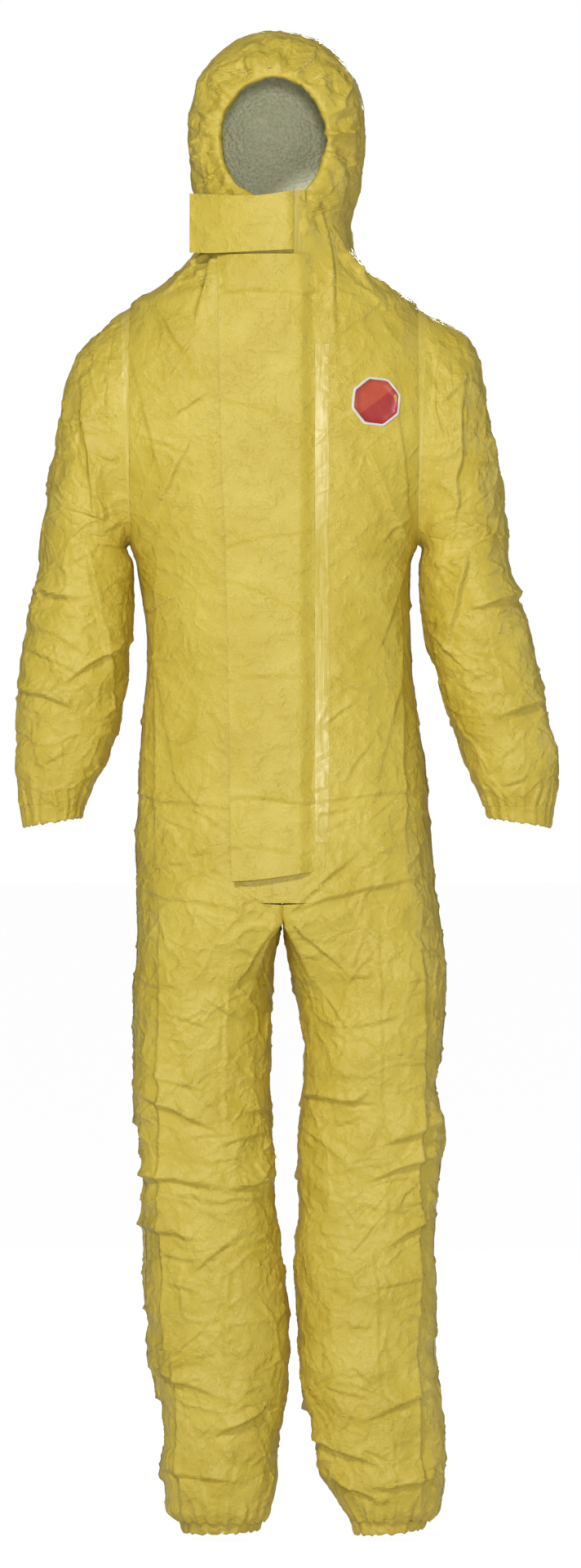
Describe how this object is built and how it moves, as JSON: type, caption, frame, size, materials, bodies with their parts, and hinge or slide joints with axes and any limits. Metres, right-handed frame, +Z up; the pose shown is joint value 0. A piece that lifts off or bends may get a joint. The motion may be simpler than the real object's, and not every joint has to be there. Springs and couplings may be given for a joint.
{
  "type": "chemical protective suit",
  "caption": "Hooded one-piece protective coverall with covered front zip, chin flap, elasticated face, cuffs and ankles, hanging as worn.",
  "frame": {"origin": "inside the shoulders at the base of the neck, level with the shoulder points, where a wearer or a hanger carries the suit", "axes": "+Z up, the front faces -Y, +X is the wearer's left"},
  "size_m": [0.6491, 0.2601, 1.802],
  "materials": {
    "suit_fabric": "satin",
    "seam_tape": "gloss",
    "adhesive": "satin",
    "elastic": "matte",
    "zip_tape": "matte",
    "zip_plastic": "satin",
    "label_print": "satin"
  },
  "bodies": {
    "torso": {"right_front_panel": "suit_fabric", "right_back_panel": "suit_fabric", "right_side_seam_tape": "seam_tape", "right_shoulder_seam_tape": "seam_tape", "left_front_panel": "suit_fabric", "left_back_panel": "suit_fabric", "left_side_seam_tape": "seam_tape", "left_shoulder_seam_tape": "seam_tape", "centre_back_seam_tape": "seam_tape", "crotch_seam_tape": "seam_tape", "waist_elastic": "elastic", "right_zip_tape": "zip_tape", "left_zip_tape": "zip_tape", "right_zip_teeth": "zip_plastic", "left_zip_teeth": "zip_plastic", "zip_top_stop": "zip_plastic", "zip_bottom_stop": "zip_plastic", "inner_zip_flap": "suit_fabric", "storm_flap_seam_tape": "seam_tape", "chest_label": "label_print", "collar": "suit_fabric", "right_hip_gusset": "suit_fabric", "left_hip_gusset": "suit_fabric"},
    "hood": {"hood_right_panel": "suit_fabric", "hood_left_panel": "suit_fabric", "hood_crown_panel": "suit_fabric", "face_hem": "suit_fabric", "face_elastic": "elastic", "chin_flap_seam_tape": "seam_tape"},
    "chin_flap": {"chin_flap": "suit_fabric", "chin_flap_adhesive": "adhesive"},
    "storm_flap": {"storm_flap": "suit_fabric", "storm_flap_adhesive": "adhesive"},
    "zip_slider": {"zip_slider": "zip_plastic"},
    "zip_pull_tab": {"zip_pull_tab": "zip_plastic"},
    "right_upper_arm": {"right_armhole_seam_tape": "seam_tape", "right_upper_sleeve": "suit_fabric", "right_elbow_sleeve": "suit_fabric"},
    "right_forearm": {"right_lower_sleeve": "suit_fabric", "right_cuff_hem": "suit_fabric", "right_cuff_elastic": "elastic"},
    "right_thigh": {"right_thigh": "suit_fabric", "right_knee": "suit_fabric"},
    "right_shin": {"right_shin": "suit_fabric", "right_ankle_hem": "suit_fabric", "right_ankle_elastic": "elastic"},
    "left_upper_arm": {"left_armhole_seam_tape": "seam_tape", "left_upper_sleeve": "suit_fabric", "left_elbow_sleeve": "suit_fabric"},
    "left_forearm": {"left_lower_sleeve": "suit_fabric", "left_cuff_hem": "suit_fabric", "left_cuff_elastic": "elastic"},
    "left_thigh": {"left_thigh": "suit_fabric", "left_knee": "suit_fabric"},
    "left_shin": {"left_shin": "suit_fabric", "left_ankle_hem": "suit_fabric", "left_ankle_elastic": "elastic"}
  },
  "joints": [
    {"name": "hood_tilt", "type": "hinge", "parent": "torso", "child": "hood", "pos_m": [-0.006, 0, 0.04], "axis": [-1, 0, 0], "range_deg": [0, 15], "deforming": ["collar"]},
    {"name": "chin_flap_opening", "type": "hinge", "parent": "hood", "child": "chin_flap", "pos_m": [0.022, -0.132, 0.092], "axis": [0, 0, 1], "range_deg": [0, 150]},
    {"name": "storm_flap_opening", "type": "hinge", "parent": "torso", "child": "storm_flap", "pos_m": [0.0375, -0.127, -0.31], "axis": [0, 0, 1], "range_deg": [0, 150]},
    {"name": "zip_slide", "type": "slide", "parent": "torso", "child": "zip_slider", "axis": [0, 0, -1], "range_m": [0, 0.66]},
    {"name": "pull_tab_swing", "type": "hinge", "parent": "zip_slider", "child": "zip_pull_tab", "pos_m": [-0.012, -0.123, 0.04], "axis": [0, 1, 0], "range_deg": [-30, 30]},
    {"name": "right_shoulder_raise", "type": "hinge", "parent": "torso", "child": "right_upper_arm", "pos_m": [-0.18215, 0, 0.003], "axis": [0, 1, 0], "range_deg": [0, 60]},
    {"name": "right_elbow_bend", "type": "hinge", "parent": "right_upper_arm", "child": "right_forearm", "pos_m": [-0.2446, -0.012, -0.35], "axis": [-0.9903, 0, 0.1392], "range_deg": [0, 85], "deforming": ["right_elbow_sleeve"]},
    {"name": "right_hip_bend", "type": "hinge", "parent": "torso", "child": "right_thigh", "pos_m": [-0.09, 0, -0.634], "axis": [-1, 0, 0], "range_deg": [0, 70], "deforming": ["right_hip_gusset"]},
    {"name": "right_knee_bend", "type": "hinge", "parent": "right_thigh", "child": "right_shin", "pos_m": [-0.09, 0.02, -1.05], "axis": [1, 0, 0], "range_deg": [0, 90], "deforming": ["right_knee"]},
    {"name": "left_shoulder_raise", "type": "hinge", "parent": "torso", "child": "left_upper_arm", "pos_m": [0.16215, 0, 0.003], "axis": [0, -1, 0], "range_deg": [0, 60]},
    {"name": "left_elbow_bend", "type": "hinge", "parent": "left_upper_arm", "child": "left_forearm", "pos_m": [0.2294, -0.012, -0.35], "axis": [-0.9781, 0, -0.2079], "range_deg": [0, 85], "deforming": ["left_elbow_sleeve"]},
    {"name": "left_hip_bend", "type": "hinge", "parent": "torso", "child": "left_thigh", "pos_m": [0.098, 0, -0.634], "axis": [-1, 0, 0], "range_deg": [0, 70], "deforming": ["left_hip_gusset"]},
    {"name": "left_knee_bend", "type": "hinge", "parent": "left_thigh", "child": "left_shin", "pos_m": [0.098, 0.02, -1.05], "axis": [1, 0, 0], "range_deg": [0, 90], "deforming": ["left_knee"]}
  ]
}
